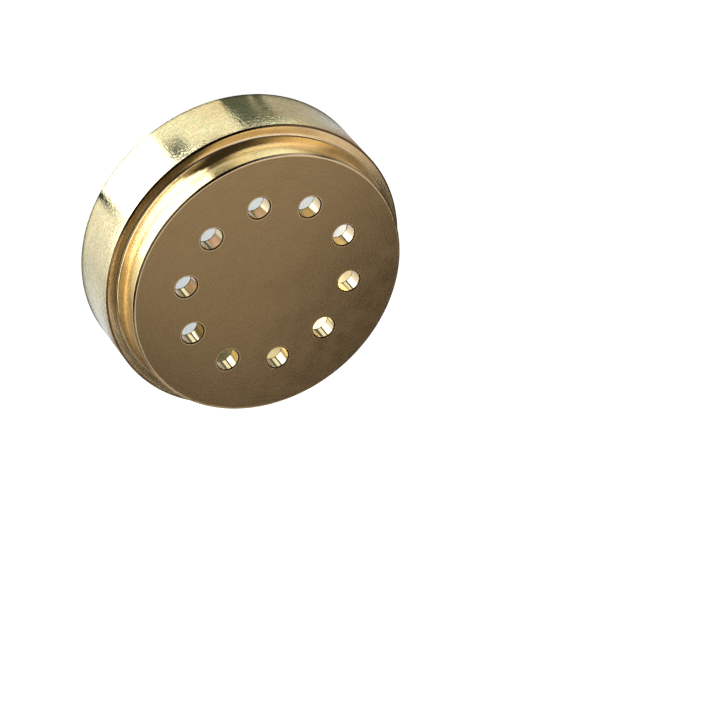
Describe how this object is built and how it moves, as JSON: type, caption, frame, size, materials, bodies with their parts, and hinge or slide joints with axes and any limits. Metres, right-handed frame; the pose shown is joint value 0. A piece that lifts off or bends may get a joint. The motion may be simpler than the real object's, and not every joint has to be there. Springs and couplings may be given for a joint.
{
  "type": "pasta extrusion die",
  "caption": "Turned bronze die: a wide flange, a short nose, a flat front face with a ring of round strand holes and a hollow back. Dough pushed in from behind leaves as thick pasta strands.",
  "frame": {"origin": "on the axis, in the plane of the flat back rim that the die lies on", "axes": "+Z along the axis, the way the strands leave; +X through the first strand hole"},
  "size_m": [0.057, 0.057, 0.0189],
  "materials": {
    "die_bronze": "fine-turned rim and holes with a soft shine, satin lapped front face"
  },
  "bodies": {
    "root": {"die_body": "die_bronze"}
  },
  "joints": []
}
